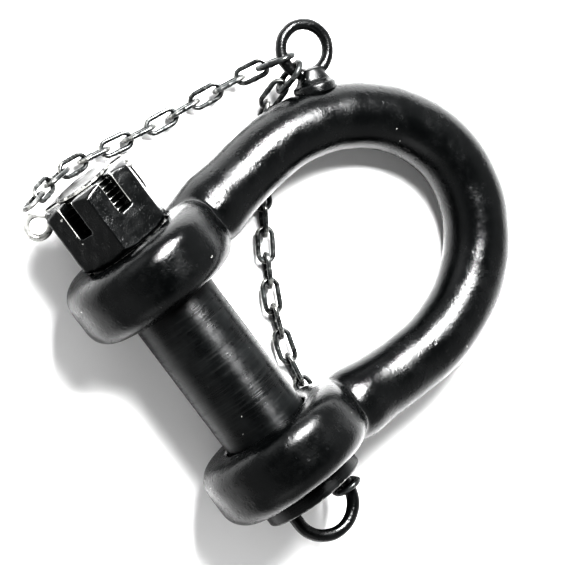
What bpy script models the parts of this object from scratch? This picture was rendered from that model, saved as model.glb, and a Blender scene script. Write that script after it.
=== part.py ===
"""Bow shackle with a nutted pin and two retaining chains, lying on its side.

X runs along the pin towards its head, Y towards the crown of the bow and Z up.
The shackle rests on its two eyes and on the crown, so the plane of the bow slopes
down towards the crown. The bow, pin, nut, eyebolt, handle and split pin are drawn
in the plane of the bow and hang on an empty that tips them; the chains are laid
link by link along routes given in world coordinates.
"""
import math

import bmesh
import bpy
from mathutils import Matrix, Vector

NAME = "bow_shackle"
FIT_GAP = 0.0003
# How far a cutter runs past the solid it cuts.
OVERRUN = 0.001

# Bow: a round bar bent to a loop, with a turned eye at each end.
BAR_RADIUS = 0.021
BAR_FLARE = 0.002
FLARE_Y = 0.058
FLARE_LENGTH = 0.012
SUNK_LENGTH = 0.040
EYE_X = 0.0715
EYE_RADIUS = 0.054
EYE_HALF_THICKNESS = 0.022
EYE_FILLET = 0.014
BORE_RADIUS = 0.030
ARM_START = 0.006
ARM_END = 0.112
CROWN_HALF_WIDTH = 0.0805
CROWN_DEPTH = 0.0945
CROWN_Y = ARM_END + CROWN_DEPTH
BORE_CUTTER = 2.5 * (EYE_X + EYE_HALF_THICKNESS)

# Pin, with its head and reduced threaded end.
PIN_RADIUS = 0.0285
HEAD_RADIUS = 0.034
HEAD_THICKNESS = 0.0097
PIN_EDGE = 0.0018
SHOULDER_SETBACK = 0.0006
THREAD_RADIUS = 0.0192
THREAD_END = 0.142
OUTER_FACE = EYE_X + EYE_HALF_THICKNESS
HEAD_FACE = OUTER_FACE + FIT_GAP + HEAD_THICKNESS

# D-shaped handle on the head.
HANDLE_BAR = 0.004
HANDLE_HALF_WIDTH = 0.0205
HANDLE_LEG = 0.008
HANDLE_DEPTH = 0.0195

# Slotted nut.
NUT_FLATS = 0.061
NUT_CORNER = NUT_FLATS / math.sqrt(3)
NUT_BORE = 0.0197
NUT_INNER_FACE = OUTER_FACE + FIT_GAP
NUT_OUTER_FACE = 0.140
NUT_CHAMFER_ANGLE = math.radians(32.0)
NUT_RIM_SETBACK = 0.0005
SLOT_WIDTH = 0.010
SLOT_DEPTH = 0.024
SLOT_ANGLE = math.radians(25.7)

# Split pin through the slots and the threaded end.
SPLIT_X = -0.1355
SPLIT_RADIUS = 0.0042
SPLIT_HOLE = 0.0050
SPLIT_TIP = 0.033
LOOP_OFFSET = 0.038
LOOP_RADIUS = 0.0075
LOOP_WIRE = 0.0026
SPLIT_SLIT = 0.0009
SPLIT_UNCUT = 0.004

# Eyebolt on the shoulder of the bow, at this angle round the crown's ellipse.
EYEBOLT_ANGLE = math.radians(26.0)
RING_OFFSET = 0.046
RING_RADIUS = 0.01575
RING_WIRE = 0.00375
SHANK_RADIUS = 0.006
SHANK_HOLE = 0.0064
SHANK_START = 0.009
SHOULDER_START = 0.0185
SHOULDER_END = 0.0225
SHOULDER_RADIUS = 0.0136
NECK_END = 0.033
NECK_HALF_FLAT = 0.0085
NECK_FLAT = (0.010, 0.040, 0.020)
NECK_FLAT_MIDDLE = 0.0345
SOCKET_START = 0.0075
SOCKET_LENGTH = 0.030

# Chain links, as inner length, inner width and wire radius.
LINK = (0.0178, 0.0064, 0.0016)
JOINER = (0.0200, 0.0100, 0.0020)
PITCH = 0.0162
# From the ring's wire to where a joining link carries the first plain link.
JOINER_REACH = 0.0150
HANG_GAP = 0.0004

# The bow's plane tips until its crown and its eyes touch the same floor.
TILT = math.asin((EYE_RADIUS - BAR_RADIUS) / CROWN_Y)
# Moves the middle of the whole object, chains included, over the world's origin.
CENTRE = Vector((0.0102, -0.0853, 0.0))

# Routes of the chains after their joining links, in metres from the pin's middle, with
# the floor at Z = 0.
CHAIN_A_ROUTE = (
    (-0.1236, 0.1290, 0.0128),
    (-0.1262, 0.1130, 0.0098),
    (-0.1290, 0.0950, 0.0070),
    (-0.1325, 0.0700, 0.0067),
    (-0.1383, 0.0425, 0.0068),
    (-0.1430, 0.0230, 0.0078),
    (-0.1468, 0.0070, 0.0128),
    (-0.1483, -0.0060, 0.0195),
    (-0.1487, -0.0190, 0.0305),
    (-0.1487, -0.0350, 0.0465),
)
CHAIN_A_LINKS = 12
CHAIN_B_ROUTE = (
    (-0.0987, 0.1294, 0.0098),
    (-0.0892, 0.1166, 0.0074),
    (-0.0768, 0.1062, 0.0067),
    (-0.0625, 0.0983, 0.0067),
    (-0.0480, 0.0908, 0.0067),
    (-0.0345, 0.0815, 0.0067),
    (-0.0170, 0.0700, 0.0067),
    (0.0097, 0.0560, 0.0067),
    (0.0400, 0.0460, 0.0067),
    (0.0600, 0.0435, 0.0067),
    (0.0800, 0.0425, 0.0067),
    (0.0950, 0.0395, 0.0067),
    (0.1060, 0.0350, 0.0067),
    (0.1160, 0.0290, 0.0067),
)
CHAIN_B_LINKS = 16
# Where round the ring each joining link hangs, and how far it leans outwards.
JOINER_A_ANGLE, JOINER_A_LEAN = math.radians(-105.0), math.radians(40.0)
JOINER_B_ANGLE, JOINER_B_LEAN = math.radians(-65.0), math.radians(33.0)
HANDLE_JOINER_X = 0.114
HANDLE_JOINER_REACH = 0.0152


def clear_scene():
    for old in list(bpy.data.objects):
        bpy.data.objects.remove(old, do_unlink=True)


def new_collection(name):
    made = bpy.data.collections.new(name)
    bpy.context.scene.collection.children.link(made)
    return made


def steel(name, colour, roughness, metallic):
    made = bpy.data.materials.new(name)
    made.use_nodes = True
    shader = made.node_tree.nodes["Principled BSDF"]
    shader.inputs["Base Color"].default_value = (*colour, 1.0)
    shader.inputs["Roughness"].default_value = roughness
    shader.inputs["Metallic"].default_value = metallic
    return made


def place(name, data, collection, parent=None, matrix=Matrix(), material=None):
    made = bpy.data.objects.new(name, data)
    collection.objects.link(made)
    made.parent = parent
    made.matrix_local = matrix
    if material:
        data.materials.clear()
        data.materials.append(material)
    return made


def cutter(name, data, parent, matrix=Matrix()):
    made = place(name, data, bpy.data.collections["cutters"], parent, matrix)
    made.hide_render = True
    made.display_type = "WIRE"
    return made


def boolean(target, operation, tool):
    step = target.modifiers.new(f"{operation.lower()}_{tool.name}", "BOOLEAN")
    step.operation = operation
    step.solver = "EXACT"
    step.object = tool


def smooth(made, sharp_degrees=40.0):
    made.data.shade_smooth()
    made.data.set_sharp_from_angle(angle=math.radians(sharp_degrees))


def along(axis, side):
    """Rotation whose Z is the axis and whose X is as near as it can be to the side."""
    z = Vector(axis).normalized()
    x = (Vector(side) - z * z.dot(Vector(side))).normalized()
    return Matrix((x, z.cross(x), z)).transposed().to_4x4()


PIN_AXIS = along((1, 0, 0), (0, 1, 0))


def turned(name, profile, steps):
    """Mesh of a half profile, given as (radius, height) from the top down, turned about Z."""
    body = bpy.data.meshes.new(name)
    verts = [(radius, 0.0, height) for radius, height in profile]
    body.from_pydata(verts, [(k, k + 1) for k in range(len(verts) - 1)], [])
    source = place(name + "_profile", body, bpy.data.collections["cutters"])
    turn = source.modifiers.new("turn", "SCREW")
    turn.steps = turn.render_steps = steps
    turn.use_merge_vertices = True
    turn.merge_threshold = 0.00001
    return baked(source, name)


def baked(source, name):
    """Closed mesh of an object's evaluated shape; the object itself is removed."""
    evaluated = source.evaluated_get(bpy.context.evaluated_depsgraph_get())
    mesh = bpy.data.meshes.new_from_object(evaluated)
    mesh.name = name
    shape = bmesh.new()
    shape.from_mesh(mesh)
    bmesh.ops.remove_doubles(shape, verts=shape.verts, dist=0.00001)
    bmesh.ops.recalc_face_normals(shape, faces=shape.faces)
    shape.to_mesh(mesh)
    shape.free()
    bpy.data.objects.remove(source, do_unlink=True)
    return mesh


def cylinder(name, radius, length, sides=32):
    mesh = bpy.data.meshes.new(name)
    shape = bmesh.new()
    bmesh.ops.create_cone(shape, cap_ends=True, segments=sides, radius1=radius,
                          radius2=radius, depth=length)
    shape.to_mesh(mesh)
    shape.free()
    return mesh


def box(name, size):
    mesh = bpy.data.meshes.new(name)
    shape = bmesh.new()
    bmesh.ops.create_cube(shape, size=1.0)
    bmesh.ops.scale(shape, vec=size, verts=shape.verts)
    shape.to_mesh(mesh)
    shape.free()
    return mesh


def tube(name, points, radius, closed=False, swell=None, resolution=2):
    """Curve tube through the points; swell gives each point's share of the radius."""
    curve = bpy.data.curves.new(name, "CURVE")
    curve.dimensions = "3D"
    curve.bevel_depth = radius
    curve.bevel_resolution = resolution
    curve.use_fill_caps = True
    line = curve.splines.new("POLY")
    line.points.add(len(points) - 1)
    line.use_cyclic_u = closed
    for k, (knot, point) in enumerate(zip(line.points, points)):
        knot.co = (*point, 1.0)
        knot.radius = swell[k] if swell else 1.0
    return curve


def tube_mesh(name, *args, **options):
    source = place(name + "_path", tube(name, *args, **options),
                   bpy.data.collections["cutters"])
    return baked(source, name)


def bow_axis():
    """Centre line of the bar, from the right eye round the crown to the left eye."""
    arm = []
    for k in range(9):
        y = ARM_START + (ARM_END - ARM_START) * k / 9
        s = y / ARM_END
        arm.append((EYE_X + (CROWN_HALF_WIDTH - EYE_X) * s * s * (3 - 2 * s), y, 0.0))
    turns = 28
    crown = [crown_point(math.pi * k / turns) for k in range(turns + 1)]
    return arm + crown + [(-x, y, z) for x, y, z in reversed(arm)]


def crown_point(angle):
    return (CROWN_HALF_WIDTH * math.cos(angle),
            ARM_END + CROWN_DEPTH * math.sin(angle), 0.0)


def bar_swell(points, extra=0.0):
    """Thicker where an arm leaves its eye, and sunk below the eye's faces inside it."""
    out = []
    for _, y, _ in points:
        flare = BAR_FLARE * math.exp(-(((y - FLARE_Y) / FLARE_LENGTH) ** 2))
        sunk = BAR_FLARE * math.exp(-((y / SUNK_LENGTH) ** 2))
        out.append((BAR_RADIUS + extra + flare - sunk) / BAR_RADIUS)
    return out


def bar_mesh(name, extra=0.0):
    points = bow_axis()
    return tube_mesh(name, points, BAR_RADIUS, swell=bar_swell(points, extra), resolution=6)


def eye_profile():
    flat = EYE_RADIUS - EYE_FILLET
    side = EYE_HALF_THICKNESS - EYE_FILLET
    turns = 6
    angles = [math.pi / 2 * k / turns for k in range(turns + 1)]
    upper = [(flat + EYE_FILLET * math.sin(a), side + EYE_FILLET * math.cos(a))
             for a in angles]
    lower = [(radius, -height) for radius, height in reversed(upper)]
    return [(0.0, EYE_HALF_THICKNESS)] + upper + lower + [(0.0, -EYE_HALF_THICKNESS)]


def build_bow(parts, frame, material):
    bow = place("bow", bar_mesh("bow"), parts, frame, material=material)
    for side, x in (("right", EYE_X), ("left", -EYE_X)):
        eye = cutter(f"eye_{side}", turned("eye", eye_profile(), 40), frame,
                     Matrix.Translation((x, 0, 0)) @ PIN_AXIS)
        boolean(bow, "UNION", eye)
    bore = cutter("bore", cylinder("bore", BORE_RADIUS, BORE_CUTTER, 40), frame, PIN_AXIS)
    boolean(bow, "DIFFERENCE", bore)
    socket = cutter("socket", socket_mesh(), frame, eyebolt_matrix())
    boolean(bow, "DIFFERENCE", socket)
    smooth(bow)
    return bow


def eyebolt_matrix():
    """Local Z points out of the bar, square to it, from the bar's centre line."""
    foot = Vector(crown_point(math.pi - EYEBOLT_ANGLE))
    outward = Vector((-math.cos(EYEBOLT_ANGLE) / CROWN_HALF_WIDTH,
                      math.sin(EYEBOLT_ANGLE) / CROWN_DEPTH, 0.0))
    return Matrix.Translation(foot) @ along(outward, (0, 0, 1))


def socket_mesh():
    """The hole for the eyebolt's shank, in the eyebolt's own frame."""
    mesh = cylinder("socket", SHANK_HOLE, SOCKET_LENGTH, 16)
    mesh.transform(Matrix.Translation((0, 0, SOCKET_START + SOCKET_LENGTH / 2)))
    return mesh


def ring_centre():
    return eyebolt_matrix() @ Vector((0, 0, RING_OFFSET))


def ring_mesh(name, major, minor, segments, sides):
    points = [(major * math.cos(2 * math.pi * k / segments),
               major * math.sin(2 * math.pi * k / segments), 0.0) for k in range(segments)]
    return tube_mesh(name, points, minor, closed=True, resolution=sides)


def build_eyebolt(parts, frame, material):
    """Shouldered eyebolt: shank in the bar, flared neck with two flats, and a ring."""
    neck = [(0.0, NECK_END), (0.0060, NECK_END), (0.0085, 0.0305), (0.0100, 0.0275),
            (0.0112, 0.0245), (SHOULDER_RADIUS, SHOULDER_END),
            (SHOULDER_RADIUS, SHOULDER_START), (SHANK_RADIUS, SHOULDER_START),
            (SHANK_RADIUS, SHANK_START), (0.0, SHANK_START)]
    bolt = place("chain_eyebolt", turned("chain_eyebolt", neck, 20), parts, frame,
                 eyebolt_matrix(), material)
    for side in (-1, 1):
        across = side * (NECK_HALF_FLAT + NECK_FLAT[0] / 2)
        flat = cutter(f"neck_flat_{side}", box("neck_flat", NECK_FLAT), frame,
                      eyebolt_matrix() @ Matrix.Translation((across, 0, NECK_FLAT_MIDDLE)))
        boolean(bolt, "DIFFERENCE", flat)
    saddle = cutter("saddle", saddle_mesh(), frame)
    boolean(bolt, "DIFFERENCE", saddle)
    ring = cutter("ring", ring_mesh("ring", RING_RADIUS, RING_WIRE, 28, 3), frame,
                  Matrix.Translation(ring_centre()))
    boolean(bolt, "UNION", ring)
    smooth(bolt)
    return bolt


def saddle_mesh():
    """The bar a fit gap larger, bored through where the eyebolt's shank stands."""
    source = place("saddle_source", bar_mesh("saddle", FIT_GAP), bpy.data.collections["cutters"])
    hole = cutter("saddle_hole", socket_mesh(), None, eyebolt_matrix())
    boolean(source, "DIFFERENCE", hole)
    mesh = baked(source, "saddle")
    bpy.data.objects.remove(hole, do_unlink=True)
    return mesh


def build_pin(parts, frame, material):
    edge = PIN_EDGE
    near = OUTER_FACE + FIT_GAP
    shoulder = SHOULDER_SETBACK - OUTER_FACE
    profile = [(0.0, HEAD_FACE), (HEAD_RADIUS - edge, HEAD_FACE),
               (HEAD_RADIUS, HEAD_FACE - edge), (HEAD_RADIUS, near + edge),
               (HEAD_RADIUS - edge, near), (PIN_RADIUS, near),
               (PIN_RADIUS, shoulder + edge), (PIN_RADIUS - edge, shoulder),
               (THREAD_RADIUS, shoulder), (THREAD_RADIUS, -THREAD_END + edge),
               (THREAD_RADIUS - edge, -THREAD_END), (0.0, -THREAD_END)]
    pin = place("pin", turned("pin", profile, 40), parts, frame, PIN_AXIS, material)
    across = cylinder("split_pin_hole", SPLIT_HOLE, 3 * THREAD_RADIUS, 20)
    hole = cutter("split_pin_hole", across, frame,
                  split_pin_matrix() @ Matrix.Rotation(math.pi / 2, 4, "Y"))
    boolean(pin, "DIFFERENCE", hole)
    smooth(pin)
    return pin


def handle_path():
    start = HEAD_FACE + FIT_GAP
    leg = start + HANDLE_LEG
    turns = 12
    arch = [(leg + HANDLE_DEPTH * math.sin(math.pi * k / turns),
             HANDLE_HALF_WIDTH * math.cos(math.pi * k / turns), 0.0)
            for k in range(turns + 1)]
    return [(start, HANDLE_HALF_WIDTH, 0.0)] + arch + [(start, -HANDLE_HALF_WIDTH, 0.0)]


def build_handle(parts, frame, material):
    mesh = tube_mesh("pin_handle", handle_path(), HANDLE_BAR, resolution=3)
    handle = place("pin_handle", mesh, parts, frame, material=material)
    smooth(handle, 60.0)
    return handle


def build_nut(parts, frame, material):
    """Hexagon nut, chamfered at both ends, with six slots in its outer end."""
    length = NUT_OUTER_FACE - NUT_INNER_FACE
    middle = -(NUT_OUTER_FACE + NUT_INNER_FACE) / 2
    corner_up = Matrix.Rotation(SLOT_ANGLE + math.pi / 6, 4, "Z")
    nut = place("nut", cylinder("nut", NUT_CORNER, length, 6), parts, frame,
                Matrix.Translation((middle, 0, 0)) @ PIN_AXIS @ corner_up, material)
    half = length / 2
    rim = NUT_FLATS / 2 - NUT_RIM_SETBACK
    outside = NUT_CORNER + 2 * OVERRUN
    drop = (outside - rim) * math.tan(NUT_CHAMFER_ANGLE)
    crown = [(0.0, half), (rim, half), (outside, half - drop),
             (outside, drop - half), (rim, -half), (0.0, -half)]
    chamfer = cutter("nut_chamfer", turned("nut_chamfer", crown, 48), frame,
                     Matrix.Translation((middle, 0, 0)) @ PIN_AXIS)
    boolean(nut, "INTERSECT", chamfer)
    hole = cutter("nut_hole", cylinder("nut_hole", NUT_BORE, 1.3 * length, 32), frame,
                  Matrix.Translation((middle, 0, 0)) @ PIN_AXIS)
    boolean(nut, "DIFFERENCE", hole)
    slot_middle = -(NUT_OUTER_FACE - SLOT_DEPTH / 2 + OVERRUN)
    slot_size = (SLOT_DEPTH + 2 * OVERRUN, 2.6 * NUT_CORNER, SLOT_WIDTH)
    for k in range(3):
        turn = Matrix.Rotation(SLOT_ANGLE + k * math.pi / 3, 4, "X")
        slot = cutter(f"slot_{k}", box("slot", slot_size), frame,
                      Matrix.Translation((slot_middle, 0, 0)) @ turn)
        boolean(nut, "DIFFERENCE", slot)
    smooth(nut, 25.0)
    return nut


def split_pin_matrix():
    """Local X runs along the split pin from its loop to its tip, local Y along the pin."""
    along_slot = Vector((0, math.cos(SLOT_ANGLE), math.sin(SLOT_ANGLE)))
    across = Vector((-1, 0, 0))
    up = along_slot.cross(across)
    turn = Matrix((along_slot, across, up)).transposed().to_4x4()
    return Matrix.Translation((SPLIT_X, 0, 0)) @ turn


def build_split_pin(parts, frame, material):
    """Two half-round legs side by side, joined by a loop."""
    length = SPLIT_TIP + LOOP_OFFSET - LOOP_RADIUS
    middle = (SPLIT_TIP - LOOP_OFFSET + LOOP_RADIUS) / 2
    shank = cylinder("split_pin", SPLIT_RADIUS, length, 16)
    shank.transform(Matrix.Translation((middle, 0, 0)) @ Matrix.Rotation(math.pi / 2, 4, "Y"))
    pin = place("split_pin", shank, parts, frame, split_pin_matrix(), material)
    loop = cutter("loop", ring_mesh("loop", LOOP_RADIUS, LOOP_WIRE, 20, 2), frame,
                  split_pin_matrix() @ Matrix.Translation((-LOOP_OFFSET, 0, 0)))
    boolean(pin, "UNION", loop)
    slit_length = length - SPLIT_UNCUT
    slit_middle = SPLIT_TIP + OVERRUN - slit_length / 2
    slit = cutter("slit", box("slit", (slit_length, SPLIT_SLIT, 4 * SPLIT_RADIUS)), frame,
                  split_pin_matrix() @ Matrix.Translation((slit_middle, 0, 0)))
    boolean(pin, "DIFFERENCE", slit)
    smooth(pin, 50.0)
    return pin


def link_curve(name, inner_length, inner_width, wire):
    """One welded link in its own XY plane, long side along X, from a closed wire."""
    bend = inner_width / 2 + wire
    straight = (inner_length - inner_width) / 2
    turns = 4
    points = []
    for side in (1, -1):
        for k in range(turns + 1):
            angle = math.pi * (k / turns - 0.5)
            points.append((side * (straight + bend * math.cos(angle)),
                           side * bend * math.sin(angle), 0.0))
    return tube(name, points, wire, closed=True)


def link_mesh(name, size):
    source = place(name + "_path", link_curve(name, *size), bpy.data.collections["cutters"])
    mesh = baked(source, name)
    mesh.shade_smooth()
    return mesh


def smooth_route(points, fine=24):
    """Catmull-Rom curve through the points, as many short straight steps."""
    ends = [2 * Vector(points[0]) - Vector(points[1])]
    ends += [Vector(p) for p in points]
    ends += [2 * Vector(points[-1]) - Vector(points[-2])]
    out = []
    for a, b, c, d in zip(ends, ends[1:], ends[2:], ends[3:]):
        for k in range(fine):
            t = k / fine
            out.append(0.5 * (2 * b + (c - a) * t + (2 * a - 5 * b + 4 * c - d) * t * t
                              + (3 * b - 3 * c + d - a) * t ** 3))
    return out + [ends[-2]]


def walk(points, step, count):
    """Joint points a straight step apart along the route."""
    route = smooth_route(points)
    joints = [route[0]]
    for here in route:
        if (here - joints[-1]).length >= step and len(joints) <= count:
            joints.append(joints[-1] + (here - joints[-1]).normalized() * step)
    return joints


def link_frames(points, count):
    """Each link's matrix: its origin on its first joint, X on to the next one, and the
    plane of the wire flat on odd links and upright on even ones."""
    frames = []
    joints = walk(points, PITCH, count)
    for k, (here, there) in enumerate(zip(joints, joints[1:])):
        x = (there - here).normalized()
        side = Vector((0, 0, 1)).cross(x).normalized()
        rise = x.cross(side)
        y, z = (side, rise) if k % 2 == 0 else (rise, -side)
        turn = Matrix((x, y, z)).transposed().to_4x4()
        frames.append(Matrix.Translation(here) @ turn)
    return frames


def tipped():
    """From the plane of the bow to the floor the shackle lies on."""
    return Matrix.Translation((0, 0, EYE_RADIUS)) @ Matrix.Rotation(-TILT, 4, "X")


def joiner_frame(angle, lean):
    """A joining link hooked round the ring: origin on the ring's wire, X down the link."""
    radial = Vector((math.cos(angle), math.sin(angle), 0.0))
    wire = tipped() @ (ring_centre() + radial * RING_RADIUS)
    outward = (tipped().to_3x3() @ radial).normalized()
    normal = (tipped().to_3x3() @ Vector((-radial.y, radial.x, 0.0))).normalized()
    down = normal.cross(outward).normalized()
    if down.z > 0:
        down = -down
    x = down * math.cos(lean) + outward * math.sin(lean)
    turn = Matrix((x, normal.cross(x), normal)).transposed().to_4x4()
    return Matrix.Translation(wire) @ turn


def handle_joiner_frame():
    """The joining link that hangs straight down from the upper leg of the handle."""
    wire = tipped() @ Vector((HANDLE_JOINER_X, HANDLE_HALF_WIDTH, 0.0))
    x = Vector((0, 0, -1))
    normal = Vector((1, 0, 0))
    turn = Matrix((x, normal.cross(x), normal)).transposed().to_4x4()
    return Matrix.Translation(wire) @ turn


def chain_frames():
    """Every link's name and matrix, in metres from the pin's middle on the floor."""
    out = []
    for chain, angle, lean, route, count in (
            ("chain_a", JOINER_A_ANGLE, JOINER_A_LEAN, CHAIN_A_ROUTE, CHAIN_A_LINKS),
            ("chain_b", JOINER_B_ANGLE, JOINER_B_LEAN, CHAIN_B_ROUTE, CHAIN_B_LINKS)):
        joiner = joiner_frame(angle, lean)
        start = joiner @ Vector((JOINER_REACH, 0, 0))
        out.append((chain + "_joiner", joiner))
        for k, matrix in enumerate(link_frames((start, *route), count)):
            out.append((f"{chain}_link_{k + 1:02d}", matrix))
    hanging = handle_joiner_frame()
    out.append(("handle_joiner", hanging))
    below = hanging @ Matrix.Translation((HANDLE_JOINER_REACH, 0, 0))
    out.append(("handle_link", below @ Matrix.Rotation(math.pi / 2, 4, "X")))
    return out


def joiner_shift(wire_radius):
    """How far the middle of a joining link lies past the wire it hangs on."""
    inner_length, _, wire = JOINER
    return inner_length / 2 - wire_radius - HANG_GAP


def build_chains(parts, world, material):
    plain = link_mesh("link", LINK)
    plain.transform(Matrix.Translation((PITCH / 2, 0, 0)))
    on_ring = link_mesh("ring_joiner", JOINER)
    on_ring.transform(Matrix.Translation((joiner_shift(RING_WIRE), 0, 0)))
    on_handle = link_mesh("handle_joiner", JOINER)
    on_handle.transform(Matrix.Translation((joiner_shift(HANDLE_BAR), 0, 0)))
    for mesh in (plain, on_ring, on_handle):
        mesh.materials.append(material)
    for name, matrix in chain_frames():
        mesh = plain
        if name.endswith("joiner"):
            mesh = on_handle if name.startswith("handle") else on_ring
        place(name, mesh, parts, world, matrix)


def main():
    clear_scene()
    parts = new_collection(NAME)
    new_collection("cutters")
    world = place("object_origin", None, parts, matrix=Matrix.Translation(CENTRE))
    frame = place("bow_plane", None, parts, world, tipped())
    bpy.context.view_layer.update()
    forged = steel("black_paint_on_forging", (0.012, 0.012, 0.014), 0.35, 0.0)
    build_bow(parts, frame, forged)
    build_eyebolt(parts, frame, steel("black_paint_on_eyebolt", (0.014, 0.014, 0.016), 0.38, 0.0))
    build_pin(parts, frame, steel("black_pin_steel", (0.016, 0.016, 0.018), 0.30, 0.3))
    build_handle(parts, frame, steel("black_handle_bar", (0.018, 0.018, 0.02), 0.32, 0.2))
    build_nut(parts, frame, steel("black_nut_steel", (0.014, 0.014, 0.016), 0.36, 0.3))
    build_split_pin(parts, frame, steel("split_pin_wire", (0.12, 0.12, 0.125), 0.35, 0.8))
    build_chains(parts, world, steel("dark_chain_steel", (0.05, 0.05, 0.053), 0.35, 0.8))


if __name__ == "__main__":
    main()
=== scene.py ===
"""Painted bow shackle with a castle nut, split pin and two retaining chains.

Each piece is a surface worked out from a formula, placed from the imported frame, and
finished with its own procedural material. Lengths are metres.
"""
import math

import bmesh
import bpy
import numpy as np
from bpy.props import (
    FloatProperty,
    FloatVectorProperty,
    IntProperty,
    PointerProperty,
)
from mathutils import Matrix, Vector


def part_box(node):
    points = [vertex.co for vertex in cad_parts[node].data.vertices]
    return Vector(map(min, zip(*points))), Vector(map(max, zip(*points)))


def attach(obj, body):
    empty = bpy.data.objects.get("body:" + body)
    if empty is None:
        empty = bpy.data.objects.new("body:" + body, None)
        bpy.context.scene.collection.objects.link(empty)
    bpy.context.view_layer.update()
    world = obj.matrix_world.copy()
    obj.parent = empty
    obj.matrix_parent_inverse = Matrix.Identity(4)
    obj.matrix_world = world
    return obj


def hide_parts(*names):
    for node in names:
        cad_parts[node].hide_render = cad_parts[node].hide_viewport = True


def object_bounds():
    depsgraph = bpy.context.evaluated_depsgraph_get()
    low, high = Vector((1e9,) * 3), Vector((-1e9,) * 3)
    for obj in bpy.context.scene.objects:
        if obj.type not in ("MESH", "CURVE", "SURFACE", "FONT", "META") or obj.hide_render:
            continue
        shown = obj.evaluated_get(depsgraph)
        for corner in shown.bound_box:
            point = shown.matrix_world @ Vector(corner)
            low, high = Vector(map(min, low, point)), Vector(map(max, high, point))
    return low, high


bl_info = {
    "name": "Bow Shackle",
    "version": (1, 0, 0),
    "blender": (4, 5, 0),
    "location": "View3D > Sidebar > Shackle",
    "description": "Builds a painted bow shackle with its pin, castle nut and chains",
    "category": "Add Mesh",
}

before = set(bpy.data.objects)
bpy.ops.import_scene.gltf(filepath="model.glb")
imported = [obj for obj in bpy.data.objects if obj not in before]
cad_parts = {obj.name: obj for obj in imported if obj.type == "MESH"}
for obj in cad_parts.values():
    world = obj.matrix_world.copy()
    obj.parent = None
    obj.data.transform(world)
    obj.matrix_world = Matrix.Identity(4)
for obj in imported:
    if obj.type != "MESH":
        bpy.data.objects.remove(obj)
CAD_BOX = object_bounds()


# ---------------------------------------------------------------- the shackle's own axes

BAR_RADIUS = 0.021
BOW_LOW, BOW_HIGH = (np.array(corner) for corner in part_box("bow"))
PIN_LOW, PIN_HIGH = (np.array(corner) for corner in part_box("pin"))
PIN_MIDDLE = (PIN_LOW + PIN_HIGH) / 2
ORIGIN = np.array(((BOW_LOW[0] + BOW_HIGH[0]) / 2, PIN_MIDDLE[1], PIN_MIDDLE[2]))
REACH = BOW_HIGH[1] - ORIGIN[1] - BAR_RADIUS
DROP = ORIGIN[2] - BAR_RADIUS
TILT = math.atan2(DROP, REACH)
CROWN_Y = math.hypot(DROP, REACH)
HEAD_FACE = PIN_HIGH[0] - ORIGIN[0]
THREAD_END = ORIGIN[0] - PIN_LOW[0]
# Columns are the directions of the pin, of the bow's long axis and of its upper side.
AXES = np.array(((1.0, 0.0, 0.0),
                 (0.0, math.cos(TILT), math.sin(TILT)),
                 (0.0, -math.sin(TILT), math.cos(TILT))))


def placed(points):
    """From the bow's own axes to the frame: the axes times the point, plus the origin."""
    return points @ AXES.T + ORIGIN


# -------------------------------------------------------------------------- the settings


def length(name, default, description):
    return FloatProperty(name=name, description=description, default=default,
                         min=0.0, unit="LENGTH", subtype="DISTANCE", precision=4)


def paint(name, default, description):
    return FloatVectorProperty(name=name, description=description, default=default,
                               size=3, min=0.0, max=1.0, subtype="COLOR")


def share(name, default, description):
    return FloatProperty(name=name, description=description, default=default,
                         min=0.0, max=1.0, subtype="FACTOR")


class BowSizes(bpy.types.PropertyGroup):
    """Sizes of the forged bow and its eyes."""
    bar_radius: length("Bar radius", BAR_RADIUS, "Radius of the bent bar")
    bar_flare: length("Flare", 0.0024, "How much thicker an arm gets at its eye")
    flare_y: length("Flare place", 0.058, "Where the flare is widest, from the pin")
    flare_length: length("Flare length", 0.014, "How far the flare spreads")
    arm_start: length("Arm start", 0.036, "Where the bar starts inside the eye's wall")
    arm_end: length("Arm end", 0.112, "Where the arms end and the crown's curve starts")
    crown_width: length("Crown half width", 0.0805, "Half width of the crown's centre line")
    eye_x: length("Eye place", 0.0715, "Middle of an eye along the pin")
    eye_radius: length("Eye radius", 0.054, "Outer radius of an eye")
    eye_half: length("Eye half thickness", 0.022, "Half the thickness of an eye")
    eye_fillet: length("Eye fillet", 0.014, "Rounding of an eye's rim")
    bore_radius: length("Bore radius", 0.030, "Radius of the bore for the pin")
    bore_edge: length("Bore edge", 0.0018, "Rounding of the bore's edge")
    voxel: length("Skin cell", 0.0014, "Cell of the skin that melts bar and eyes together")
    unevenness: length("Hammer unevenness", 0.00011, "Depth of the forging's slow waves")


class PinSizes(bpy.types.PropertyGroup):
    """Sizes of the pin and the handle on its head."""
    radius: length("Pin radius", 0.0285, "Radius of the plain shank")
    head_radius: length("Head radius", 0.034, "Radius of the head")
    thread_radius: length("Thread radius", 0.0192, "Radius over the thread's crests")
    thread_pitch: length("Thread pitch", 0.004, "Distance from crest to crest")
    thread_depth: length("Thread depth", 0.0013, "Depth from crest to root")
    shoulder: length("Shoulder", 0.0929, "Where the shank steps down to the thread")
    edge: length("Edge", 0.0018, "Rounding of the pin's edges")
    handle_bar: length("Handle bar", 0.004, "Radius of the handle's bar")
    handle_half: length("Handle half width", 0.0205, "Half width of the D of the handle")
    handle_leg: length("Handle leg", 0.008, "Straight part of the handle's legs")
    handle_depth: length("Handle depth", 0.0195, "Depth of the handle's arch")
    weld: length("Weld", 0.0017, "How far the weld stands out round a leg")


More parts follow.
